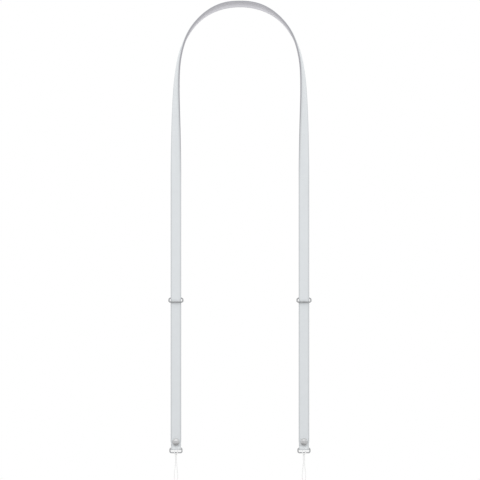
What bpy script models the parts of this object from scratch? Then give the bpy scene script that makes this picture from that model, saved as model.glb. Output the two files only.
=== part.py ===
"""A phone crossbody strap, hanging in a tall arch as it is worn.

One long band runs over the arch and down both legs. On each leg it passes through a
wire slider and ends in a round tip with a stud. Behind it a short connector hangs
from the slider and carries a wire ring, and a thin cord loop is hitched to the ring.
The origin is where the band's inner face rests on the wearer, at the top of the arch.
Metres, +Z up; the wearer faces -Y.
"""

import math

import bmesh
import bpy
import numpy as np
from mathutils import Vector

# Driving sizes
STRAP_WIDTH = 0.012
STRAP_THICKNESS = 0.0025
STRAP_EDGE_ROUND = 0.0008
STRAP_TIP_FLAT = 0.0006
LEG_SPACING = 0.1434
ARCH_RISE = 0.2091
ARCH_LEAN = 0.0526
STRAP_DROP = 0.4959
CLEARANCE = 0.0003

SLIDER_DROP = 0.3324
SLIDER_WIDTH = 0.0172
SLIDER_WIRE = 0.0016
SLIDER_BAR_STEP = 0.0045
SLIDER_CORNER = 0.0024

CONNECTOR_WIDTH = 0.0112
CONNECTOR_LAYER = 0.0013
CONNECTOR_FOLD_TAIL = 0.008
CONNECTOR_FOLD_LEAVE = 18

RING_BELOW_TIP = 0.0023
RING_DROP = STRAP_DROP + RING_BELOW_TIP
RING_WIDTH = 0.0150
RING_BAR_STEP = 0.0050
RING_WIRE = 0.0016
RING_CORNER = 0.0016

STUD_DIAMETER = 0.008
STUD_HEIGHT = 0.0022
STUD_RIM = 0.0004
STUD_SHANK = 0.003
STUD_INSET = 0.0046
STUD_BACK_DIAMETER = 0.006
STUD_BACK_THICKNESS = 0.0006

TETHER_CORD = 0.00105

# How finely the round shapes are cut
ARCH_STATIONS = 84
TIP_SEGMENTS = 10
LOOP_CORNER_STEPS = 5
STUD_STEPS = 28
DOME_STEPS = 8
FOLD_STEPS = 10

# Half of the arch, from its top to where a leg hangs straight. drop is a share of
# ARCH_RISE, span of half of LEG_SPACING and lean of ARCH_LEAN. turn is how far the
# band's outer face turns up from the view along +Y, in degrees: the inner face shows
# above 0, the edge alone at 0, and the outer face squarely at -90.
ARCH_ROWS = (
    {"drop": 0.0000, "span": 0.000, "lean": 0.000, "turn": 30.0},
    {"drop": 0.0094, "span": 0.248, "lean": 0.023, "turn": 30.0},
    {"drop": 0.0421, "span": 0.478, "lean": 0.098, "turn": 21.0},
    {"drop": 0.0948, "span": 0.668, "lean": 0.213, "turn": 11.0},
    {"drop": 0.1635, "span": 0.814, "lean": 0.357, "turn": 4.5},
    {"drop": 0.2413, "span": 0.909, "lean": 0.511, "turn": -6.0},
    {"drop": 0.3262, "span": 0.962, "lean": 0.660, "turn": -13.5},
    {"drop": 0.4148, "span": 0.987, "lean": 0.787, "turn": -24.0},
    {"drop": 0.5168, "span": 0.997, "lean": 0.883, "turn": -35.0},
    {"drop": 0.6510, "span": 1.000, "lean": 0.957, "turn": -51.0},
    {"drop": 0.8120, "span": 1.000, "lean": 0.995, "turn": -69.0},
    {"drop": 1.0000, "span": 1.000, "lean": 1.000, "turn": -90.0},
)

# Half of the cord's route, chosen by hand, from the ring's lower bar: from the middle
# of the hitch's crossing in front, up over the bar, down behind it, down one strand
# and to the bottom of the loop.
TETHER_HALF_ROUTE = (
    (-0.00022, -0.00155, -0.00135),
    (-0.00095, -0.00162, -0.00120),
    (-0.00162, -0.00170, -0.00055),
    (-0.00180, -0.00162, 0.00020),
    (-0.00180, -0.00105, 0.00125),
    (-0.00178, 0.00010, 0.00166),
    (-0.00170, 0.00120, 0.00112),
    (-0.00150, 0.00166, 0.00010),
    (-0.00115, 0.00145, -0.00095),
    (-0.00080, 0.00075, -0.00175),
    (-0.00063, 0.00020, -0.00270),
    (-0.00060, 0.00000, -0.00400),
    (-0.00060, 0.00000, -0.00800),
    (-0.00064, 0.00000, -0.01160),
    (-0.00098, 0.00000, -0.01500),
    (-0.00147, 0.00000, -0.01900),
    (-0.00178, 0.00000, -0.02350),
    (-0.00184, 0.00000, -0.02750),
    (-0.00158, 0.00000, -0.03020),
    (-0.00094, 0.00000, -0.03150),
    (0.00000, 0.00000, -0.03195),
)

SIDES = {"left": -1, "right": 1}

ROTATE_LOCAL_Z_TO_FRONT = (math.radians(90), 0, 0)
ROTATE_OUTLINE_TO_SIDE_VIEW = (math.radians(90), 0, math.radians(90))


def clamped_spline(knots, values, start_slope, end_slope, at):
    """The smooth curve through values at knots, with its slope given at both ends."""
    step = np.diff(knots)
    slope = np.diff(values, axis=0) / step[:, None]
    last = len(knots) - 1
    system = np.zeros((last + 1, last + 1))
    right = np.zeros(values.shape)
    system[0, :2] = 2 * step[0], step[0]
    right[0] = 6 * (slope[0] - start_slope)
    system[last, -2:] = step[-1], 2 * step[-1]
    right[last] = 6 * (end_slope - slope[-1])
    for i in range(1, last):
        system[i, i - 1 : i + 2] = step[i - 1], 2 * (step[i - 1] + step[i]), step[i]
        right[i] = 6 * (slope[i] - slope[i - 1])
    bend = np.linalg.solve(system, right)
    piece = np.clip(np.searchsorted(knots, at) - 1, 0, last - 1)
    width = step[piece][:, None]
    past = (at - knots[piece])[:, None]
    left = width - past
    return (
        (bend[piece] * left**3 + bend[piece + 1] * past**3) / (6 * width)
        + (values[piece] / width - bend[piece] * width / 6) * left
        + (values[piece + 1] / width - bend[piece + 1] * width / 6) * past
    )


def along_of(points):
    """The distance along a run of points, from 0 at the first."""
    return np.concatenate([[0], np.cumsum(np.linalg.norm(np.diff(points, axis=0), axis=1))])


def unit(vectors):
    return vectors / np.linalg.norm(vectors, axis=1, keepdims=True)


class Band:
    """The band's middle line over the arch and down the legs, and which way it faces.

    A distance is counted from the top of the arch, below 0 towards the left tip.
    """

    SAMPLES = 2001

    def __init__(self):
        half = [
            (
                row["span"] * LEG_SPACING / 2, -row["lean"] * ARCH_LEAN,
                -row["drop"] * ARCH_RISE, row["turn"],
            )
            for row in ARCH_ROWS
        ]
        rows = np.array([(-x, y, z, turn) for x, y, z, turn in half[:0:-1]] + half)
        knots = along_of(rows[:, :3])
        up_the_left_leg = np.array((0, 0, 1, 0))
        at = np.linspace(0, knots[-1], self.SAMPLES)
        curve = clamped_spline(knots, rows, up_the_left_leg, -up_the_left_leg, at)
        centre, turn = curve[:, :3], np.radians(curve[:, 3:])
        tangent = unit(np.gradient(centre, axis=0))
        tangent[0], tangent[-1] = up_the_left_leg[:3], -up_the_left_leg[:3]
        back = np.array((0, 1, 0))
        out_in_view = unit(np.cross(tangent, back))
        back_of_band = np.cross(out_in_view, tangent)
        self.outward = np.cos(turn) * out_in_view + np.sin(turn) * back_of_band
        self.across = np.cos(turn) * back_of_band - np.sin(turn) * out_in_view
        middle = self.SAMPLES // 2
        self.crown = Vector(self.outward[middle] * STRAP_THICKNESS / 2)
        self.centre = centre + np.array(self.crown)
        self.distance = along_of(centre)
        self.arch_half = self.distance[-1] / 2
        self.distance -= self.arch_half
        self.half_length = self.arch_half + STRAP_DROP - ARCH_RISE

    def place(self, along, across, outward):
        """The point at this distance along the band, this far to the side and out of its face."""
        on_arch = max(-self.arch_half, min(self.arch_half, along))
        point = [
            np.interp(on_arch, self.distance, self.centre[:, i])
            + across * np.interp(on_arch, self.distance, self.across[:, i])
            + outward * np.interp(on_arch, self.distance, self.outward[:, i])
            for i in range(3)
        ]
        return Vector(point) + Vector((0, 0, -1)) * (abs(along) - abs(on_arch))


def make_material(name, color, roughness, metallic=0.0):
    material = bpy.data.materials.new(name)
    material.use_nodes = True
    shader = material.node_tree.nodes["Principled BSDF"]
    shader.inputs["Base Color"].default_value = (*color, 1)
    shader.inputs["Roughness"].default_value = roughness
    shader.inputs["Metallic"].default_value = metallic
    material.diffuse_color = (*color, 1)
    return material


def add_object(name, data, collection, material=None, parent=None, location=(0, 0, 0), rotation=(0, 0, 0)):
    obj = bpy.data.objects.new(name, data)
    collection.objects.link(obj)
    obj.parent = parent
    obj.location = location
    obj.rotation_euler = rotation
    if material:
        data.materials.append(material)
    return obj


def poly_curve(name, points, cyclic, dimensions="3D"):
    curve = bpy.data.curves.new(name, "CURVE")
    curve.dimensions = dimensions
    add_spline(curve, points, cyclic)
    return curve


def add_spline(curve, points, cyclic):
    spline = curve.splines.new("POLY")
    spline.points.add(len(points) - 1)
    for point, place in zip(spline.points, points):
        point.co = (*place, 1)
    spline.use_cyclic_u = cyclic


def arc(centre, radius, start, end, steps):
    """Points of an arc in the plane, both ends included, angles in degrees."""
    angles = np.radians(np.linspace(start, end, steps + 1))
    return [(centre[0] + radius * math.cos(a), centre[1] + radius * math.sin(a)) for a in angles]


def rounded_outline(corners, radius):
    """A closed outline with each corner of the polygon rounded, corners counter-clockwise."""
    points = []
    for i, corner in enumerate(corners):
        corner = Vector(corner)
        before = (Vector(corners[i - 1]) - corner).normalized()
        after = (Vector(corners[(i + 1) % len(corners)]) - corner).normalized()
        half_angle = before.angle(after) / 2
        centre = corner + (before + after).normalized() * radius / math.sin(half_angle)
        towards = corner - centre
        middle = math.degrees(math.atan2(towards.y, towards.x))
        reach = 90 - math.degrees(half_angle)
        points += arc(centre, radius, middle - reach, middle + reach, LOOP_CORNER_STEPS)
    return points


def make_strap(band, collection, cutters, material):
    """A flat bar with round tips and rounded edges, cut across at stations and laid along the band."""
    bm = bmesh.new()
    bmesh.ops.create_cube(bm, size=1)
    bmesh.ops.scale(bm, vec=(2 * band.half_length, STRAP_WIDTH, STRAP_THICKNESS), verts=bm.verts)
    corner_edges = [e for e in bm.edges if abs((e.verts[0].co - e.verts[1].co).z) > STRAP_THICKNESS / 2]
    bmesh.ops.bevel(
        bm, geom=corner_edges, offset=(STRAP_WIDTH - STRAP_TIP_FLAT) / 2, segments=TIP_SEGMENTS,
        profile=0.5, affect="EDGES",
    )
    rim = [e for e in bm.edges if abs((e.verts[0].co - e.verts[1].co).z) < STRAP_THICKNESS / 2]
    bmesh.ops.bevel(bm, geom=rim, offset=STRAP_EDGE_ROUND, segments=2, profile=0.5, affect="EDGES")
    for station in np.linspace(-band.arch_half, band.arch_half, ARCH_STATIONS + 1):
        bmesh.ops.bisect_plane(
            bm, geom=bm.verts[:] + bm.edges[:] + bm.faces[:],
            plane_co=(station, 0, 0), plane_no=(1, 0, 0), dist=1e-7,
        )
    for vert in bm.verts:
        vert.co = band.place(*vert.co)
    mesh = bpy.data.meshes.new("strap")
    bm.to_mesh(mesh)
    bm.free()
    strap = add_object("strap", mesh, collection, material)
    mesh.shade_smooth()
    mesh.set_sharp_from_angle(angle=math.radians(40))
    for cutter in cutters:
        cut = strap.modifiers.new(cutter.name, "BOOLEAN")
        cut.object = cutter
        cut.operation = "DIFFERENCE"
    return strap


def turned(name, profile):
    """A closed mesh turned round Z from a profile of (radius, height), top to bottom."""
    line = bpy.data.meshes.new(name)
    line.from_pydata([(r, 0, h) for r, h in profile], [(i, i + 1) for i in range(len(profile) - 1)], [])
    lathe = bpy.data.objects.new(name, line)
    bpy.context.scene.collection.objects.link(lathe)
    screw = lathe.modifiers.new("turn", "SCREW")
    screw.angle = math.tau
    screw.steps = screw.render_steps = STUD_STEPS
    screw.use_merge_vertices = True
    screw.merge_threshold = 1e-6
    mesh = bpy.data.meshes.new_from_object(lathe.evaluated_get(bpy.context.evaluated_depsgraph_get()))
    bpy.data.objects.remove(lathe)
    mesh.shade_smooth()
    mesh.set_sharp_from_angle(angle=math.radians(40))
    return mesh


def make_stud_hole(side, leg, cutters):
    """The cutter for the shank's hole, wider at the back for the stud's back cap."""
    face = STRAP_THICKNESS / 2
    floor = -face + STUD_BACK_THICKNESS + CLEARANCE
    shank = STUD_SHANK / 2 + CLEARANCE
    back = STUD_BACK_DIAMETER / 2 + CLEARANCE
    profile = [(0, 2 * face), (shank, 2 * face), (shank, floor)]
    profile += [(back, floor), (back, -2 * face), (0, -2 * face)]
    cutter = add_object(
        f"{side}_stud_hole", turned("stud_hole", profile), cutters, parent=leg,
        location=(0, 0, STUD_INSET - STRAP_DROP), rotation=ROTATE_LOCAL_Z_TO_FRONT,
    )
    cutter.hide_render = True
    cutter.display_type = "WIRE"
    return cutter


def make_stud(side, leg, collection, material):
    """A domed button in front of the strap, its shank through the hole and a flush cap behind."""
    face = STRAP_THICKNESS / 2
    seat = face + CLEARANCE
    radius = STUD_DIAMETER / 2
    dome_height = STUD_HEIGHT - STUD_RIM
    dome_radius = (radius**2 + dome_height**2) / (2 * dome_height)
    dome_centre = (0, seat + STUD_HEIGHT - dome_radius)
    rim_angle = math.degrees(math.acos(radius / dome_radius))
    dome = arc(dome_centre, dome_radius, 90, rim_angle, DOME_STEPS)
    back_inside = -face + STUD_BACK_THICKNESS
    profile = [(0, seat + STUD_HEIGHT), *dome[1:], (radius, seat), (STUD_SHANK / 2, seat)]
    profile += [(STUD_SHANK / 2, back_inside), (STUD_BACK_DIAMETER / 2, back_inside)]
    profile += [(STUD_BACK_DIAMETER / 2, -face), (0, -face)]
    return add_object(
        f"{side}_stud", turned(f"{side}_stud", profile), collection, material, parent=leg,
        location=(0, 0, STUD_INSET - STRAP_DROP), rotation=ROTATE_LOCAL_Z_TO_FRONT,
    )


def connector_front():
    return STRAP_THICKNESS / 2 + CLEARANCE


def fold_radius(wire):
    """The outer radius of the connector's fold round a bar of this wire."""
    return wire / 2 + CLEARANCE + CONNECTOR_LAYER


def bar_depth(wire):
    """How far behind the strap's middle a bar lies that the connector is folded round."""
    return connector_front() + fold_radius(wire)


def make_wire_loop(name, corners, corner_radius, wire, collection, material, leg, location, tilt=0):
    """A closed loop of round wire, drawn in its own XZ plane."""
    outline = rounded_outline(corners, corner_radius)
    curve = poly_curve(name, [(x, 0, z) for x, z in outline], cyclic=True)
    curve.bevel_depth = wire / 2
    curve.bevel_resolution = 3
    return add_object(name, curve, collection, material, leg, location, (tilt, 0, 0))


def make_slider(side, leg, collection, material):
    """The slider's lower bar lies in front of the strap and its upper bar in the connector's fold."""
    front = -(STRAP_THICKNESS / 2 + CLEARANCE + SLIDER_WIRE / 2)
    rear = bar_depth(SLIDER_WIRE)
    height = math.hypot(rear - front, SLIDER_BAR_STEP)
    tilt = -math.atan2(rear - front, SLIDER_BAR_STEP)
    x, z = (SLIDER_WIDTH - SLIDER_WIRE) / 2, height / 2
    corners = ((-x, -z), (x, -z), (x, z), (-x, z))
    location = (0, (front + rear) / 2, -SLIDER_DROP)
    return make_wire_loop(
        f"{side}_slider", corners, SLIDER_CORNER, SLIDER_WIRE, collection, material, leg, location, tilt
    )


def make_ring(side, leg, collection, material):
    """The ring hangs from its top bar in the connector's fold."""
    x = (RING_WIDTH - RING_WIRE) / 2
    corners = ((-x, -RING_BAR_STEP), (x, -RING_BAR_STEP), (x, 0), (-x, 0))
    location = (0, bar_depth(RING_WIRE), -RING_DROP)
    return make_wire_loop(
        f"{side}_ring", corners, RING_CORNER, RING_WIRE, collection, material, leg, location
    )


def make_connector(side, leg, collection, material):
    """The rear layer from its side: a sheet with a fold round each bar, sewn to its back."""
    front = connector_front()
    sheet_back, doubled_back = front + CONNECTOR_LAYER, front + 2 * CONNECTOR_LAYER
    upper_bar = (bar_depth(SLIDER_WIRE), SLIDER_BAR_STEP / 2 - SLIDER_DROP)
    lower_bar = (bar_depth(RING_WIRE), -RING_DROP)
    outline = arc(lower_bar, fold_radius(RING_WIRE), 180, 360 + CONNECTOR_FOLD_LEAVE, FOLD_STEPS)
    lower_end = lower_bar[1] + CONNECTOR_FOLD_TAIL
    upper_end = upper_bar[1] - CONNECTOR_FOLD_TAIL
    outline += [(doubled_back, lower_end), (sheet_back, lower_end)]
    outline += [(sheet_back, upper_end), (doubled_back, upper_end)]
    outline += arc(upper_bar, fold_radius(SLIDER_WIRE), -CONNECTOR_FOLD_LEAVE, 180, FOLD_STEPS)
    curve = poly_curve(f"{side}_connector", [(y, z, 0) for y, z in outline], cyclic=True, dimensions="2D")
    for bar, wire in ((upper_bar, SLIDER_WIRE), (lower_bar, RING_WIRE)):
        eye = arc(bar, wire / 2 + CLEARANCE, 0, 360, 2 * FOLD_STEPS)[:-1]
        add_spline(curve, [(y, z, 0) for y, z in eye], cyclic=True)
    curve.fill_mode = "BOTH"
    curve.extrude = CONNECTOR_WIDTH / 2
    return add_object(
        f"{side}_connector", curve, collection, material, parent=leg, rotation=ROTATE_OUTLINE_TO_SIDE_VIEW
    )


def make_tether(side, leg, collection, material):
    """A cord loop hitched round the ring's lower bar, its ends meeting in the hitch's crossing."""
    other_half = [(-x, y, z) for x, y, z in TETHER_HALF_ROUTE[-2::-1]]
    route = np.array([*TETHER_HALF_ROUTE, *other_half])
    knots = along_of(route)
    halves = np.arange(2 * len(route) - 1) / 2
    at = np.interp(halves, np.arange(len(route)), knots)
    to_the_left = np.array((-1, 0, 0))
    points = clamped_spline(knots, route, to_the_left, to_the_left, at)
    curve = poly_curve(f"{side}_tether", [tuple(p) for p in points], cyclic=False)
    curve.bevel_depth = TETHER_CORD / 2
    curve.bevel_resolution = 2
    curve.use_fill_caps = True
    location = (0, bar_depth(RING_WIRE), -RING_DROP - RING_BAR_STEP)
    return add_object(f"{side}_tether", curve, collection, material, leg, location)


def add_leg(side, sign, band, collection):
    """An empty at the height of the arch's top, in the middle of this leg's band."""
    leg = bpy.data.objects.new(f"{side}_leg", None)
    collection.objects.link(leg)
    leg.location = band.crown + Vector((sign * LEG_SPACING / 2, -ARCH_LEAN, 0))
    return leg


def main():
    for obj in list(bpy.data.objects):
        bpy.data.objects.remove(obj, do_unlink=True)
    parts = bpy.data.collections.new("phone_crossbody_strap")
    cutters = bpy.data.collections.new("cutters")
    for collection in (parts, cutters):
        bpy.context.scene.collection.children.link(collection)

    knit = make_material("knitted_band", (0.73, 0.76, 0.78), 0.85)
    steel = make_material("polished_steel", (0.72, 0.73, 0.74), 0.25, metallic=1.0)
    cord = make_material("white_cord", (0.88, 0.88, 0.87), 0.7)

    band = Band()
    holes = []
    for side, sign in SIDES.items():
        leg = add_leg(side, sign, band, parts)
        holes.append(make_stud_hole(side, leg, cutters))
        make_slider(side, leg, parts, steel)
        make_connector(side, leg, parts, knit)
        make_stud(side, leg, parts, steel)
        make_ring(side, leg, parts, steel)
        make_tether(side, leg, parts, cord)
    make_strap(band, parts, holes, knit)


main()
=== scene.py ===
import math

import bmesh
import bpy
import numpy as np
from mathutils import Matrix, Vector


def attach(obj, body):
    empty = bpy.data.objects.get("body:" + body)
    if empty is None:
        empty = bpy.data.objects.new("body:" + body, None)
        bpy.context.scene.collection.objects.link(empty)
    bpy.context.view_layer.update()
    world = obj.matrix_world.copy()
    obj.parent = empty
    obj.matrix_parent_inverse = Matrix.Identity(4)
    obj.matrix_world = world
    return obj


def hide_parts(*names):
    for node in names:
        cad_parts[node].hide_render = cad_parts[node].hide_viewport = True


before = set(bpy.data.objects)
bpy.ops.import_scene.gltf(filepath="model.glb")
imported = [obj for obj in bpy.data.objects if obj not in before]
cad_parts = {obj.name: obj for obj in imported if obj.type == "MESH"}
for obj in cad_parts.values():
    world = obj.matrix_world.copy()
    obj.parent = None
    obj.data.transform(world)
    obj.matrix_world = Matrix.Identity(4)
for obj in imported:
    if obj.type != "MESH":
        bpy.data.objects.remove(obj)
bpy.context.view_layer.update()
print("frame loaded:", len(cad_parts), "nodes")

sides = {"left": -1, "right": 1}
inMm = 1000

# Sizes that more than one piece follows, in metres, the same as the solids have
strapSet = {
    "width": 0.0118, "thickness": 0.0025, "edgeRound": 0.0008, "tipFlat": 0.0006,
    "legSpacing": 0.1434, "archRise": 0.2091, "archLean": 0.0526, "drop": 0.4959,
    "tipSegments": 14, "rimSegments": 3, "wales": 14, "ribHeight": 0.00005,
    "tipCutStep": 0.0006, "stationCuts": 640, "restGap": 0.0003, "samples": 2001,
    # half of the arch from its top: shares of rise, half spacing and lean, and the face's turn in degrees
    "arch": (
        {"drop": 0.0000, "span": 0.000, "lean": 0.000, "turn": 30.0},
        {"drop": 0.0094, "span": 0.248, "lean": 0.023, "turn": 30.0},
        {"drop": 0.0421, "span": 0.478, "lean": 0.098, "turn": 21.0},
        {"drop": 0.0948, "span": 0.668, "lean": 0.213, "turn": 11.0},
        {"drop": 0.1635, "span": 0.814, "lean": 0.357, "turn": 4.5},
        {"drop": 0.2413, "span": 0.909, "lean": 0.511, "turn": -6.0},
        {"drop": 0.3262, "span": 0.962, "lean": 0.660, "turn": -13.5},
        {"drop": 0.4148, "span": 0.987, "lean": 0.787, "turn": -24.0},
        {"drop": 0.5168, "span": 0.997, "lean": 0.883, "turn": -35.0},
        {"drop": 0.6510, "span": 1.000, "lean": 0.957, "turn": -51.0},
        {"drop": 0.8120, "span": 1.000, "lean": 0.995, "turn": -69.0},
        {"drop": 1.0000, "span": 1.000, "lean": 1.000, "turn": -90.0},
    ),
}
sliderSet = {"drop": 0.3324, "width": 0.0172, "wire": 0.0016, "barStep": 0.0045, "corner": 0.0024}
ringSet = {"drop": 0.4982, "width": 0.0150, "wire": 0.0016, "barStep": 0.0050, "corner": 0.0016}
wireSet = {"around": 32, "cornerSteps": 14}


# Camera and studio

cameraSet = {
    "pixel": 0.00112, "picture": 480, "middleColumn": 239.95, "crownRow": 3.30,
    "distance": 20.0, "sensor": 36.0,
}
studioSet = {
    "horizon": (1.0, 1.0, 1.0), "zenith": (1.28, 1.28, 1.28), "ground": (0.82, 0.82, 0.82),
    "groundHeights": (-0.3, -0.9), "zenithHeights": (0.08, 0.5),
    "floorDrop": 0.70, "floorRadius": 0.36, "floorTones": ((0.44, 0.44, 0.44), (0.48, 0.48, 0.48)),
    "softbox": {"at": (-0.2, -1.65, 1.35), "size": 2.0, "power": 4.4},
}


def crownCentre():
    turn = math.radians(strapSet["arch"][0]["turn"])
    return Vector((0, math.sin(turn), math.cos(turn))) * strapSet["thickness"] / 2


def legPlace(sign):
    return crownCentre() + Vector((sign * strapSet["legSpacing"] / 2, -strapSet["archLean"], 0))


def makeCamera():
    half = cameraSet["picture"] / 2
    x = (half - cameraSet["middleColumn"]) * cameraSet["pixel"]
    z = crownCentre().z - (half - cameraSet["crownRow"]) * cameraSet["pixel"]
    data = bpy.data.cameras.new("camera")
    data.sensor_width = cameraSet["sensor"]
    data.lens = cameraSet["sensor"] * cameraSet["distance"] / (cameraSet["pixel"] * cameraSet["picture"])
    data.clip_end = 200
    camera = bpy.data.objects.new("camera", data)
    camera.location = (x, legPlace(1).y - cameraSet["distance"], z)
    camera.rotation_euler = (math.radians(90), 0, 0)
    bpy.context.scene.collection.objects.link(camera)
    bpy.context.scene.camera = camera


# Shader expressions: a wrapped socket takes Python's operators, and node() makes any other node

class Shade:
    def __init__(self, tree, socket=None):
        self.tree = tree
        self.socket = socket

    def node(self, kind, settings=None, inputs=None, output=0):
        made = self.tree.nodes.new(kind)
        for name, value in (settings or {}).items():
            if name == "stops":
                ramp = made.color_ramp.elements
                while len(ramp) < len(value):
                    ramp.new(0.5)
                for stop, (position, color) in zip(ramp, value):
                    stop.position = position
                    stop.color = (*color, 1)
            else:
                setattr(made, name, value)
        for name, value in (inputs or {}).items():
            if isinstance(value, Shade):
                self.tree.links.new(value.socket, made.inputs[name])
            else:
                made.inputs[name].default_value = value
        return Shade(self.tree, made.outputs[output])

    def maths(self, operation, *values):
        return self.node("ShaderNodeMath", {"operation": operation}, dict(enumerate((self, *values))))

    def __add__(self, other):
        return self.maths("ADD", other)

    def __radd__(self, other):
        return self.maths("ADD", other)

    def __sub__(self, other):
        return self.maths("SUBTRACT", other)

    def __rsub__(self, other):
        return (self * -1).maths("ADD", other)

    def __mul__(self, other):
        return self.maths("MULTIPLY", other)

    def __rmul__(self, other):
        return self.maths("MULTIPLY", other)

    def __truediv__(self, other):
        return self.maths("DIVIDE", other)

    def __abs__(self):
        return self.maths("ABSOLUTE")

    def fraction(self):
        return self.maths("FRACT")

    def sine(self):
        return self.maths("SINE")

    def axes(self):
        # the three numbers of a vector
        split = self.node("ShaderNodeSeparateXYZ", inputs={0: self}).socket.node
        return [Shade(self.tree, socket) for socket in split.outputs]

    def between(self, low, high):
        # 0 at low, 1 at high, smooth and held at both ends
        return self.node(
            "ShaderNodeMapRange", {"interpolation_type": "SMOOTHSTEP"},
            {"Value": self, "From Min": low, "From Max": high, "To Min": 0.0, "To Max": 1.0},
        )

    def blend(self, first, second):
        # this mask mixes two colours
        inputs = {"Factor": self}
        for name, color in ((6, first), (7, second)):
            inputs[name] = color if isinstance(color, Shade) else (*color, 1)
        return self.node("ShaderNodeMix", {"data_type": "RGBA"}, inputs, output=2)


def newMaterial(name, **values):
    material = bpy.data.materials.new(name)
    material.use_nodes = True
    shader = material.node_tree.nodes["Principled BSDF"]
    for socket, value in values.items():
        shader.inputs[socket.replace("_", " ")].default_value = value
    return material, shader, Shade(material.node_tree)


def feed(shade, shader, **links):
    for socket, value in links.items():
        shade.tree.links.new(value.socket, shader.inputs[socket.replace("_", " ")])


knitSet = {
    "wale": 0.74, "course": 0.62, "lean": 0.55, "grooveShade": 0.86, "roughness": 0.85, "bump": 0.00006,
    # painted shade: the face darkens towards its rounded rim, by this tone
    "rim": (2.0, 0.8), "rimShadeTone": 0.84, "side": (0.95, 0.45),
    # the arch's front half with painted shade, the knit below the slider, and the round tip left light as
    # painted light, with lengths in mm
    "frontEdge": (-3.0, 3.0), "frontEdgeShadeTone": 0.76, "archEnd": (80, 160),
    "belowSlider": 0.985, "belowFade": 1.0, "tipLength": 2.5,
    "fuzz": {"scale": 2.3, "detail": 3.0, "tone": 0.06},
    "drift": {"scale": 0.06, "detail": 2.0, "tone": 0.04},
    "band": {"outer": (0.711, 0.738, 0.757), "inner": (0.770, 0.762, 0.805), "edge": (0.41, 0.405, 0.435)},
    # the connector's outer face is a lighter copy of the band's knit: painted light that lifts the shade below
    # the strap's tip
    "connector": {"outer": (0.82, 0.85, 0.865), "inner": (0.745, 0.740, 0.785), "edge": (0.50, 0.50, 0.53)},
}


def knitMaterial(name, tones, thickness, lowerFrom=1.0, tipFrom=1.0):
    # darker past lowerFrom, and with a light rim past tipFrom, in metres from the middle: painted light where
    # the painted rim shade and the dark side colour stop
    # unset, both lie past the ends
    material, shader, make = newMaterial(
        name, Roughness=knitSet["roughness"], Sheen_Weight=0.15, Sheen_Roughness=0.5, Specular_IOR_Level=0.25
    )
    flat = make.node("ShaderNodeAttribute", {"attribute_name": "flat"}, output=1)
    along, across, outward = flat.axes()
    inset = make.node("ShaderNodeAttribute", {"attribute_name": "inset"}, output=2)
    half = thickness * inMm / 2

    wrap = abs(across) + (half - abs(outward))
    column = ((wrap + knitSet["wale"] / 2) / knitSet["wale"]).fraction() - 0.5
    ridge = 1 - column * column * 4
    stitch = (((along / knitSet["course"]) + abs(column) * knitSet["lean"] * 2) * math.tau).sine()
    height = ridge * (stitch * 0.3 + 0.7)
    fuzz, drift = (
        make.node("ShaderNodeTexNoise", {}, {"Vector": flat, "Scale": kind["scale"], "Detail": kind["detail"]})
        for kind in (knitSet["fuzz"], knitSet["drift"])
    )

    front = (outward / half).between(-0.5, 0.5)
    farFromSide = [s * thickness / strapSet["thickness"] for s in knitSet["side"]]
    edge = abs(outward).between(*farFromSide)
    # painted light: past tipFrom the round tip drops the rim's painted shade and the dark side colour
    body = 1 - abs(along).between(tipFrom * inMm, tipFrom * inMm + knitSet["tipLength"])
    below, fade = lowerFrom * inMm, knitSet["belowFade"]
    lower = abs(along).between(below - fade, below + fade) * (1 - knitSet["belowSlider"])
    # painted shade on the arch's inner face: darker towards its front edge, off the sides, fading out down the
    # legs
    archShade = (1 - across.between(*knitSet["frontEdge"])) * (1 - front)
    archShade = archShade * (1 - edge) * (1 - abs(along).between(*knitSet["archEnd"]))
    # painted shade along the rounded rim, lifted on the round tip
    rim = 1 - inset.between(*knitSet["rim"]) * body * (1 - knitSet["rimShadeTone"])

    # painted shade: the grooves between the wales and stitches are darker than the ridges
    shadeOf = height * (1 - knitSet["grooveShade"]) + knitSet["grooveShade"]
    shadeOf = shadeOf * ((fuzz - 0.5) * knitSet["fuzz"]["tone"] + 1)
    shadeOf = shadeOf * ((drift - 0.5) * knitSet["drift"]["tone"] + 1)
    shadeOf = shadeOf * rim * (1 - lower) * (1 - archShade * (1 - knitSet["frontEdgeShadeTone"]))
    grey = make.node("ShaderNodeCombineColor", {}, {0: shadeOf, 1: shadeOf, 2: shadeOf})
    tone = (edge * body).blend(front.blend(tones["inner"], tones["outer"]), tones["edge"])
    color = make.node(
        "ShaderNodeMix", {"data_type": "RGBA", "blend_type": "MULTIPLY"},
        {"Factor": 1.0, 6: tone, 7: grey}, output=2,
    )
    relief = height + fuzz * 0.25
    bump = make.node("ShaderNodeBump", {}, {"Strength": 0.8, "Distance": knitSet["bump"], "Height": relief})
    rough = fuzz * 0.1 + (knitSet["roughness"] - 0.05)
    feed(make, shader, Base_Color=color, Roughness=rough, Normal=bump)
    return material


steelSet = {
    # the slider's steel is darker than the ring's and stud's as painted shade, and its brighter rear tone is
    # painted light
    "slider": (0.37, 0.375, 0.38), "ring": (0.50, 0.505, 0.51), "stud": (0.51, 0.515, 0.52),
    "sliderRearLight": (0.60, 0.605, 0.61), "rearDepth": 0.003, "darkShare": 0.88,
    "roughness": 0.16, "smear": 0.10,
}


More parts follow.
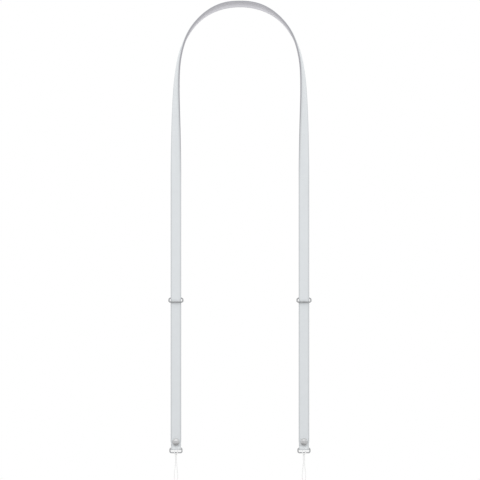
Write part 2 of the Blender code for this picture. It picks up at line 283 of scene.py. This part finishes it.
def steelMaterial(kind):
    material, shader, make = newMaterial(f"{kind}Steel", Metallic=1.0)
    place = make.node("ShaderNodeTexCoord", output=3)
    stretched = make.node("ShaderNodeMapping", {}, {"Vector": place, "Scale": (4000, 900, 900)})
    scratch = make.node("ShaderNodeTexNoise", {}, {"Vector": stretched, "Scale": 1.0, "Detail": 3.0})
    smear = make.node("ShaderNodeTexNoise", {}, {"Vector": place, "Scale": 260.0, "Detail": 2.0})
    dark = tuple(c * steelSet["darkShare"] for c in steelSet[kind])
    color = smear.between(0.35, 0.65).blend(dark, steelSet[kind])
    if kind == "slider":
        # painted light and shade: the bar behind the band is given brighter steel than the darker one in front
        # of it
        behind = legPlace(1).y
        rear = place.axes()[1].between(behind, behind + steelSet["rearDepth"])
        color = rear.blend(color, steelSet["sliderRearLight"])
    rough = (scratch + smear - 1) * steelSet["smear"] + steelSet["roughness"]
    bump = make.node("ShaderNodeBump", {}, {"Strength": 0.15, "Distance": 0.00002, "Height": scratch})
    feed(make, shader, Base_Color=color, Roughness=rough, Normal=bump)
    return material


cordSet = {
    "diameter": 0.00105, "color": (0.89, 0.89, 0.885), "gapShade": (0.70, 0.70, 0.70),
    "braidPitch": 1.7, "strands": 4, "around": 16, "step": 0.00018, "relief": 0.045,
    # half of the route, from the crossing's middle round the bar and down one strand
    "route": (
        (-0.00022, -0.00155, -0.00135), (-0.00095, -0.00162, -0.00120), (-0.00162, -0.00170, -0.00055),
        (-0.00180, -0.00162, 0.00020), (-0.00180, -0.00105, 0.00125), (-0.00178, 0.00010, 0.00166),
        (-0.00170, 0.00120, 0.00112), (-0.00150, 0.00166, 0.00010), (-0.00115, 0.00145, -0.00095),
        (-0.00080, 0.00075, -0.00175), (-0.00063, 0.00020, -0.00270), (-0.00060, 0.00000, -0.00400),
        (-0.00060, 0.00000, -0.00800), (-0.00064, 0.00000, -0.01160), (-0.00098, 0.00000, -0.01500),
        (-0.00147, 0.00000, -0.01900), (-0.00178, 0.00000, -0.02350), (-0.00184, 0.00000, -0.02750),
        (-0.00158, 0.00000, -0.03020), (-0.00094, 0.00000, -0.03150), (0.00000, 0.00000, -0.03195),
    ),
}


def braid(make, along, angle):
    # two families of strands crossing round the cord, 1 on top of a strand and 0 between
    turn = angle * cordSet["strands"]
    run = along * (math.tau / cordSet["braidPitch"] * cordSet["strands"] / 2)
    return ((turn + run).sine() * (turn - run).sine()) * 0.5 + 0.5


def cordMaterial():
    material, shader, make = newMaterial("whiteCord", Roughness=0.6, Sheen_Weight=0.2, Specular_IOR_Level=0.4)
    flat = make.node("ShaderNodeAttribute", {"attribute_name": "flat"}, output=1)
    along, sine, cosine = flat.axes()
    angle = sine.maths("ARCTAN2", cosine)
    raised = braid(make, along, angle)
    # painted shade: the cord is darker between the strands than on top of them
    color = raised.between(0.0, 0.6).blend(cordSet["gapShade"], cordSet["color"])
    bump = make.node("ShaderNodeBump", {}, {"Strength": 0.6, "Distance": 0.00006, "Height": raised})
    feed(make, shader, Base_Color=color, Roughness=raised * 0.1 + 0.55, Normal=bump)
    return material


threadSet = {"dark": (0.52, 0.54, 0.56), "light": (0.68, 0.70, 0.72), "scale": 5200.0, "bump": 0.00003}


def threadMaterial():
    material, shader, make = newMaterial("sewingThread", Roughness=0.6, Sheen_Weight=0.1)
    place = make.node("ShaderNodeTexCoord", output=3)
    ply = make.node("ShaderNodeTexNoise", {}, {"Vector": place, "Scale": threadSet["scale"], "Detail": 1.0})
    color = ply.between(0.3, 0.7).blend(threadSet["dark"], threadSet["light"])
    bump = make.node("ShaderNodeBump", {}, {"Strength": 0.4, "Distance": threadSet["bump"], "Height": ply})
    feed(make, shader, Base_Color=color, Normal=bump)
    return material


def floorMaterial():
    material, shader, make = newMaterial("paleFloor", Roughness=0.9)
    place = make.node("ShaderNodeTexCoord", output=3)
    cloud = make.node("ShaderNodeTexNoise", {}, {"Vector": place, "Scale": 1.5, "Detail": 2.0})
    feed(make, shader, Base_Color=cloud.blend(*studioSet["floorTones"]))
    return material


def makeStudio():
    scene = bpy.context.scene
    scene.view_settings.view_transform = "Standard"
    world = bpy.data.worlds.new("studio")
    scene.world = world
    world.use_nodes = True
    make = Shade(world.node_tree)
    background = world.node_tree.nodes["Background"]
    direction = make.node("ShaderNodeTexCoord", output=0)
    height = direction.axes()[2]
    below = height.between(*studioSet["groundHeights"]).blend(studioSet["horizon"], studioSet["ground"])
    color = height.between(*studioSet["zenithHeights"]).blend(below, studioSet["zenith"])
    make.tree.links.new(color.socket, background.inputs["Color"])

    bm = bmesh.new()
    bmesh.ops.create_circle(bm, cap_ends=True, segments=96, radius=studioSet["floorRadius"])
    bmesh.ops.translate(bm, vec=(0, 0, -studioSet["floorDrop"]), verts=bm.verts)
    finishMesh(bm, "floor", floorMaterial())

    box = studioSet["softbox"]
    light = bpy.data.lights.new("softbox", "AREA")
    light.energy, light.size = box["power"], box["size"]
    lamp = bpy.data.objects.new("softbox", light)
    lamp.location = box["at"]
    aim = Vector((0, 0, -0.25)) - lamp.location
    lamp.rotation_euler = aim.to_track_quat("-Z", "Y").to_euler()
    scene.collection.objects.link(lamp)


# Meshes

def finishMesh(bm, name, material, smooth=True):
    mesh = bpy.data.meshes.new(name)
    bm.to_mesh(mesh)
    bm.free()
    mesh.materials.append(material)
    if smooth:
        mesh.shade_smooth()
    piece = bpy.data.objects.new(name, mesh)
    bpy.context.scene.collection.objects.link(piece)
    return piece


def smoothCurve(knots, values, startSlope, endSlope, at):
    # the smooth curve through values at knots, with its slope given at both ends
    step = np.diff(knots)
    slope = np.diff(values, axis=0) / step[:, None]
    last = len(knots) - 1
    system = np.zeros((last + 1, last + 1))
    right = np.zeros(values.shape)
    system[0, :2] = 2 * step[0], step[0]
    right[0] = 6 * (slope[0] - startSlope)
    system[last, -2:] = step[-1], 2 * step[-1]
    right[last] = 6 * (endSlope - slope[-1])
    for i in range(1, last):
        system[i, i - 1:i + 2] = step[i - 1], 2 * (step[i - 1] + step[i]), step[i]
        right[i] = 6 * (slope[i] - slope[i - 1])
    bend = np.linalg.solve(system, right)
    piece = np.clip(np.searchsorted(knots, at) - 1, 0, last - 1)
    width = step[piece][:, None]
    past = (at - knots[piece])[:, None]
    left = width - past
    return (
        (bend[piece] * left**3 + bend[piece + 1] * past**3) / (6 * width)
        + (values[piece] / width - bend[piece] * width / 6) * left
        + (values[piece + 1] / width - bend[piece + 1] * width / 6) * past
    )


def distances(points):
    return np.concatenate([[0], np.cumsum(np.linalg.norm(np.diff(points, axis=0), axis=1))])


def unit(vectors):
    return vectors / np.linalg.norm(vectors, axis=1, keepdims=True)


def strapPath():
    # the band's middle line over the arch, and its across and outward directions, by distance from the crown
    half = [
        (row["span"] * strapSet["legSpacing"] / 2, -row["lean"] * strapSet["archLean"],
         -row["drop"] * strapSet["archRise"], row["turn"])
        for row in strapSet["arch"]
    ]
    rows = np.array([(-x, y, z, turn) for x, y, z, turn in half[:0:-1]] + half)
    knots = distances(rows[:, :3])
    up = np.array((0, 0, 1, 0))
    curve = smoothCurve(knots, rows, up, -up, np.linspace(0, knots[-1], strapSet["samples"]))
    centre, turn = curve[:, :3], np.radians(curve[:, 3:])
    tangent = unit(np.gradient(centre, axis=0))
    tangent[0], tangent[-1] = up[:3], -up[:3]
    outInView = unit(np.cross(tangent, (0, 1, 0)))
    backOfBand = np.cross(outInView, tangent)
    away = distances(centre)
    return {
        "centre": centre + np.array(crownCentre()), "away": away - away[-1] / 2,
        "outward": np.cos(turn) * outInView + np.sin(turn) * backOfBand,
        "across": np.cos(turn) * backOfBand - np.sin(turn) * outInView,
    }


def layAlong(path, flat):
    # flat places (along, across, outward) laid on the arch and straight down the legs
    reach = path["away"][-1]
    held = np.clip(flat[:, 0], -reach, reach)
    carried = [path[k] for k in ("centre", "across", "outward")]
    parts = []
    for i in range(3):
        centre, across, outward = (np.interp(held, path["away"], rows[:, i]) for rows in carried)
        parts.append(centre + flat[:, 1] * across + flat[:, 2] * outward)
    parts[2] = parts[2] - (np.abs(flat[:, 0]) - np.abs(held))
    return np.stack(parts, axis=1)


def allOf(bm):
    return bm.verts[:] + bm.edges[:] + bm.faces[:]


def flatBand(settings, halfLength, cuts):
    # a bar with round tips and rounded edges, cut lengthwise at each wale and across at each station
    width, thickness = settings["width"], settings["thickness"]
    bm = bmesh.new()
    bmesh.ops.create_cube(bm, size=1)
    bmesh.ops.scale(bm, vec=(2 * halfLength, width, thickness), verts=bm.verts)
    tipRound = (width - settings["tipFlat"]) / 2
    if tipRound > settings["edgeRound"]:
        corners = [e for e in bm.edges if abs((e.verts[0].co - e.verts[1].co).z) > thickness / 2]
        bmesh.ops.bevel(
            bm, geom=corners, offset=tipRound, segments=settings["tipSegments"], profile=0.5,
            affect="EDGES", material=-1,
        )
    rim = [e for e in bm.edges if abs((e.verts[0].co - e.verts[1].co).z) < thickness / 2]
    bmesh.ops.bevel(
        bm, geom=rim, offset=settings["edgeRound"], segments=settings["rimSegments"], profile=0.5,
        affect="EDGES", material=-1,
    )
    flatHalf = width / 2 - settings["edgeRound"]
    lines = np.linspace(-flatHalf, flatHalf, 2 * settings["wales"] + 1)
    for line in lines[1:-1]:
        bmesh.ops.bisect_plane(bm, geom=allOf(bm), plane_co=(0, line, 0), plane_no=(0, 1, 0), dist=1e-8)
    tipStart = halfLength - tipRound
    tipCuts = np.arange(tipStart, halfLength - settings["edgeRound"], settings["tipCutStep"])
    for station in (*-tipCuts, *tipCuts):
        bmesh.ops.bisect_plane(bm, geom=allOf(bm), plane_co=(station, 0, 0), plane_no=(1, 0, 0), dist=1e-8)
    long = [e for e in bm.edges if abs((e.verts[0].co - e.verts[1].co).x) > halfLength]
    bmesh.ops.subdivide_edges(bm, edges=long, cuts=cuts, use_grid_fill=True)
    step = lines[1] - lines[0]
    flat = bm.verts.layers.float_vector.new("flat")
    inset = bm.verts.layers.float.new("inset")
    for vert in bm.verts:
        x, y, z = vert.co
        vert[flat] = vert.co * inMm
        inside = flatHalf - math.hypot(max(0.0, abs(x) - tipStart), y)
        vert[inset] = (inside + settings["edgeRound"]) * inMm
        if abs(z) < thickness / 2 - 1e-6:
            continue
        ridge = 0.5 - 0.5 * math.cos(math.pi * (y + flatHalf) / step)
        fade = min(1.0, max(0.0, inside / (2 * step)))
        vert.co.z += math.copysign(settings["ribHeight"] * ridge * fade, z)
    return bm


def makeStrap():
    path = strapPath()
    halfLength = path["away"][-1] + strapSet["drop"] - strapSet["archRise"]
    toSlider = path["away"][-1] + sliderSet["drop"] - strapSet["archRise"]
    tipFrom = halfLength - 2 * knitSet["tipLength"] / inMm
    material = knitMaterial("bandKnit", knitSet["band"], strapSet["thickness"], toSlider, tipFrom)
    bm = flatBand(strapSet, halfLength, strapSet["stationCuts"])
    placed = layAlong(path, np.array([v.co[:] for v in bm.verts]))
    for vert, co in zip(bm.verts, placed):
        vert.co = co
    strap = finishMesh(bm, "knittedStrap", material)
    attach(strap, "root")
    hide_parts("strap")
    return strap


def wireLoop(name, settings, height, turn, place, material):
    # a ring of round wire: bars pushed straight and corners spun, drawn flat and then tilted into place
    half, corner = (settings["width"] - settings["wire"]) / 2, settings["corner"]
    up = height / 2
    bm = bmesh.new()
    ring = bmesh.ops.create_circle(
        bm, segments=wireSet["around"], radius=settings["wire"] / 2,
        matrix=Matrix.Translation((0, 0, -up)) @ Matrix.Rotation(math.radians(90), 4, "Y"),
    )
    verts = ring["verts"]
    edges = list({e for v in verts for e in v.link_edges})
    run, rise = half - corner, height - 2 * corner
    bars = ((run, 0), (0, rise), (-2 * run, 0), (0, -rise), (run, 0))
    centres = ((run, corner - up), (run, up - corner), (-run, up - corner), (-run, corner - up))
    for i, (dx, dz) in enumerate(bars):
        grown = bmesh.ops.extrude_edge_only(bm, edges=edges)["geom"]
        verts = [g for g in grown if isinstance(g, bmesh.types.BMVert)]
        edges = [g for g in grown if isinstance(g, bmesh.types.BMEdge)]
        bmesh.ops.translate(bm, vec=(dx, 0, dz), verts=verts)
        if i < len(centres):
            spun = bmesh.ops.spin(
                bm, geom=verts + edges, cent=(centres[i][0], 0, centres[i][1]), axis=(0, -1, 0),
                angle=math.radians(90), steps=wireSet["cornerSteps"], use_merge=False, use_duplicate=False,
            )["geom_last"]
            verts = [g for g in spun if isinstance(g, bmesh.types.BMVert)]
            edges = [g for g in spun if isinstance(g, bmesh.types.BMEdge)]
    bmesh.ops.remove_doubles(bm, verts=bm.verts, dist=1e-6)
    bmesh.ops.recalc_face_normals(bm, faces=bm.faces)
    bmesh.ops.rotate(bm, cent=(0, 0, 0), matrix=Matrix.Rotation(turn, 3, "X"), verts=bm.verts)
    bmesh.ops.translate(bm, vec=place, verts=bm.verts)
    piece = finishMesh(bm, name, material)
    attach(piece, "root")
    return piece


connectorSet = {
    "width": 0.0112, "layer": 0.0013, "tail": 0.008, "leave": 18.0, "edgeRound": 0.0005, "tipFlat": 0.0106,
    "tipSegments": 2, "rimSegments": 2, "wales": 13, "ribHeight": 0.00004, "tipCutStep": 0.004,
    "cuts": 420, "foldSteps": 22, "samples": 4001,
    "stitches": 9, "stitchRows": (0.0012, 0.0028), "stitchMargin": 0.001, "stitchShare": 0.42,
    "stitchLift": 0.00008, "thread": 0.0003,
}
connectorSet["thickness"] = connectorSet["layer"]


def barDepth(wire):
    # how far behind the strap's middle the bar in the connector's fold lies
    return strapSet["thickness"] / 2 + 2 * strapSet["restGap"] + connectorSet["layer"] + wire / 2


def makeSliders(material):
    front = -(strapSet["thickness"] / 2 + strapSet["restGap"] + sliderSet["wire"] / 2)
    rear = barDepth(sliderSet["wire"])
    height = math.hypot(rear - front, sliderSet["barStep"])
    turn = -math.atan2(rear - front, sliderSet["barStep"])
    for side, sign in sides.items():
        place = legPlace(sign) + Vector((0, (front + rear) / 2, -sliderSet["drop"]))
        slider = wireLoop(f"{side}SteelSlider", sliderSet, height, turn, place, material)
        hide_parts(f"{side}_slider")


def makeRings(material):
    depth, height = barDepth(ringSet["wire"]), ringSet["barStep"]
    for side, sign in sides.items():
        place = legPlace(sign) + Vector((0, depth, -ringSet["drop"] - height / 2))
        ring = wireLoop(f"{side}SteelRing", ringSet, height, 0, place, material)
        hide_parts(f"{side}_ring")


def arcPoints(centre, radius, start, end, steps):
    angles = np.radians(np.linspace(start, end, steps + 1))
    return [(centre[0] + radius * math.cos(a), centre[1] + radius * math.sin(a)) for a in angles]


def connectorPath():
    # the strip's middle line as (depth, height): round the slider's bar, down, and round the ring's bar
    layer, leave, tail = (connectorSet[k] for k in ("layer", "leave", "tail"))
    offset = strapSet["restGap"] + layer / 2
    sewn = strapSet["thickness"] / 2 + offset + layer
    upper = (barDepth(sliderSet["wire"]), sliderSet["barStep"] / 2 - sliderSet["drop"])
    lower = (barDepth(ringSet["wire"]), -ringSet["drop"])
    line = [(sewn, upper[1] - tail)]
    line += arcPoints(upper, sliderSet["wire"] / 2 + offset, -leave, 180, connectorSet["foldSteps"])
    line += arcPoints(lower, ringSet["wire"] / 2 + offset, 180, 360 + leave, connectorSet["foldSteps"])
    line += [(sewn, lower[1] + tail)]
    return np.array(line)


def makeConnectors(material, thread):
    line = connectorPath()
    away = distances(line)
    halfLength = away[-1] / 2
    fine = np.linspace(0, away[-1], connectorSet["samples"])
    places = np.stack([np.interp(fine, away, line[:, i]) for i in (0, 1)], axis=1)
    tangent = unit(np.gradient(places, axis=0))
    for side, sign in sides.items():
        bm = flatBand(connectorSet, halfLength, connectorSet["cuts"])
        for vert in bm.verts:
            at = vert.co.x + halfLength
            depth, height = np.interp(at, away, line[:, 0]), np.interp(at, away, line[:, 1])
            ty, tz = np.interp(at, fine, tangent[:, 0]), np.interp(at, fine, tangent[:, 1])
            norm = math.hypot(ty, tz)
            out = -vert.co.z / norm
            vert.co = legPlace(sign) + Vector((vert.co.y, depth - tz * out, height + ty * out))
        bmesh.ops.recalc_face_normals(bm, faces=bm.faces)
        strip = finishMesh(bm, f"{side}KnittedConnector", material)
        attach(strip, "root")
        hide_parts(f"{side}_connector")
        makeStitches(side, sign, thread)


def makeStitches(side, sign, material):
    # two rows of short stitches across each fold's sewn end, on the back
    layer = connectorSet["layer"]
    back = strapSet["thickness"] / 2 + strapSet["restGap"] + 2 * layer
    upper = sliderSet["barStep"] / 2 - sliderSet["drop"] - connectorSet["tail"]
    lower = -ringSet["drop"] + connectorSet["tail"]
    pitch = (connectorSet["width"] - 2 * connectorSet["stitchMargin"]) / connectorSet["stitches"]
    thread = connectorSet["thread"] / 2
    size = Matrix.Diagonal((pitch * connectorSet["stitchShare"], thread, thread, 1))
    bm = bmesh.new()
    for row in connectorSet["stitchRows"]:
        for height in (upper + row, lower - row):
            for i in range(connectorSet["stitches"]):
                x = (i - (connectorSet["stitches"] - 1) / 2) * pitch
                middle = legPlace(sign) + Vector((x, back + connectorSet["stitchLift"], height))
                shape = Matrix.Translation(middle) @ size
                bmesh.ops.create_uvsphere(bm, u_segments=10, v_segments=6, radius=1.0, matrix=shape)
    stitches = finishMesh(bm, f"{side}FoldStitches", material)
    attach(stitches, "root")


studSet = {
    "diameter": 0.008, "height": 0.0022, "rim": 0.0004, "shank": 0.003, "inset": 0.0046,
    "backDiameter": 0.006, "backThickness": 0.0006, "around": 72, "domeSteps": 20, "domeStop": 3,
    "rimRound": 0.00012, "rimSteps": 3, "sharpAngle": 35,
}


def makeStuds(material):
    # the button's outline, (radius, height), spun round its own axis
    face = strapSet["thickness"] / 2
    seat = face + strapSet["restGap"]
    top = seat + studSet["height"]
    radius, rise = studSet["diameter"] / 2, studSet["height"] - studSet["rim"]
    domeRadius = (radius**2 + rise**2) / (2 * rise)
    domeEnd = math.degrees(math.acos(radius / domeRadius)) + studSet["domeStop"]
    dome = arcPoints((0, top - domeRadius), domeRadius, 90, domeEnd, studSet["domeSteps"])
    small, rimSteps, shank = studSet["rimRound"], studSet["rimSteps"], studSet["shank"] / 2
    back, backRadius = studSet["backThickness"] - face, studSet["backDiameter"] / 2
    outline = [(0, top), *dome[1:]]
    outline += arcPoints((radius - small, seat + studSet["rim"]), small, 45, 0, rimSteps)
    outline += arcPoints((radius - small, seat + small), small, 0, -90, rimSteps)
    outline += [(shank, seat), (shank, back), (backRadius, back)]
    outline += [(backRadius, small - face), (backRadius - small, -face), (0, -face)]
    for side, sign in sides.items():
        bm = bmesh.new()
        points = [bm.verts.new((r, 0, h)) for r, h in outline]
        line = [bm.edges.new(pair) for pair in zip(points, points[1:])]
        bmesh.ops.spin(
            bm, geom=points + line, cent=(0, 0, 0), axis=(0, 0, 1), angle=math.tau, steps=studSet["around"],
            use_merge=True, use_duplicate=False,
        )
        bmesh.ops.remove_doubles(bm, verts=bm.verts, dist=1e-7)
        bmesh.ops.recalc_face_normals(bm, faces=bm.faces)
        bmesh.ops.rotate(bm, cent=(0, 0, 0), matrix=Matrix.Rotation(math.radians(90), 3, "X"), verts=bm.verts)
        place = legPlace(sign) + Vector((0, 0, studSet["inset"] - strapSet["drop"]))
        bmesh.ops.translate(bm, vec=place, verts=bm.verts)
        stud = finishMesh(bm, f"{side}SteelStud", material)
        stud.data.set_sharp_from_angle(angle=math.radians(studSet["sharpAngle"]))
        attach(stud, "root")
        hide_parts(f"{side}_stud")


def cordRoute():
    half = cordSet["route"]
    route = np.array([*half, *[(-x, y, z) for x, y, z in half[-2::-1]]])
    knots = distances(route)
    left = np.array((-1, 0, 0))
    count = int(knots[-1] / cordSet["step"])
    return smoothCurve(knots, route, left, left, np.linspace(0, knots[-1], count))


def makeTethers(material):
    local = cordRoute()
    away = distances(local)
    tangent = unit(np.gradient(local, axis=0))
    normal = [np.array((0.0, -1.0, 0.0))]
    for t in tangent[1:]:
        carried = normal[-1] - t * normal[-1].dot(t)
        normal.append(carried / np.linalg.norm(carried))
    radius = cordSet["diameter"] / 2
    for side, sign in sides.items():
        place = legPlace(sign) + Vector((0, barDepth(ringSet["wire"]), -ringSet["drop"] - ringSet["barStep"]))
        bm = bmesh.new()
        layer = bm.verts.layers.float_vector.new("flat")
        verts = bmesh.ops.create_circle(bm, cap_ends=True, segments=cordSet["around"], radius=radius)["verts"]
        edges = list({e for v in verts for e in v.link_edges})
        angles = [math.atan2(v.co.y, v.co.x) for v in verts]
        for i, (point, t, n) in enumerate(zip(local, tangent, normal)):
            if i:
                grown = bmesh.ops.extrude_edge_only(bm, edges=edges)["geom"]
                verts = [g for g in grown if isinstance(g, bmesh.types.BMVert)]
                edges = [g for g in grown if isinstance(g, bmesh.types.BMEdge)]
                angles = [math.atan2(v[layer].y, v[layer].z) for v in verts]
            beside = np.cross(t, n)
            along = away[i] * inMm
            for v, a in zip(verts, angles):
                turn = a * cordSet["strands"]
                run = along * math.tau / cordSet["braidPitch"] * cordSet["strands"] / 2
                raised = math.sin(turn + run) * math.sin(turn - run)
                r = radius * (1 - cordSet["relief"] + cordSet["relief"] * raised)
                v.co = place + Vector(point + r * (math.cos(a) * n + math.sin(a) * beside))
                v[layer] = (along, math.sin(a), math.cos(a))
        bmesh.ops.contextual_create(bm, geom=edges)
        bmesh.ops.recalc_face_normals(bm, faces=bm.faces)
        tether = finishMesh(bm, f"{side}CordLoop", material)
        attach(tether, "root")
        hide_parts(f"{side}_tether")
        path = [tuple(place + Vector(p)) for p in local]


makeCamera()
makeStudio()
print("camera and studio ready")
makeTethers(cordMaterial())
print("cord loops made")
makeStrap()
print("strap made")
makeConnectors(knitMaterial("connectorKnit", knitSet["connector"], connectorSet["layer"]), threadMaterial())
print("connectors made")
makeSliders(steelMaterial("slider"))
makeRings(steelMaterial("ring"))
makeStuds(steelMaterial("stud"))
print("steel fittings made")
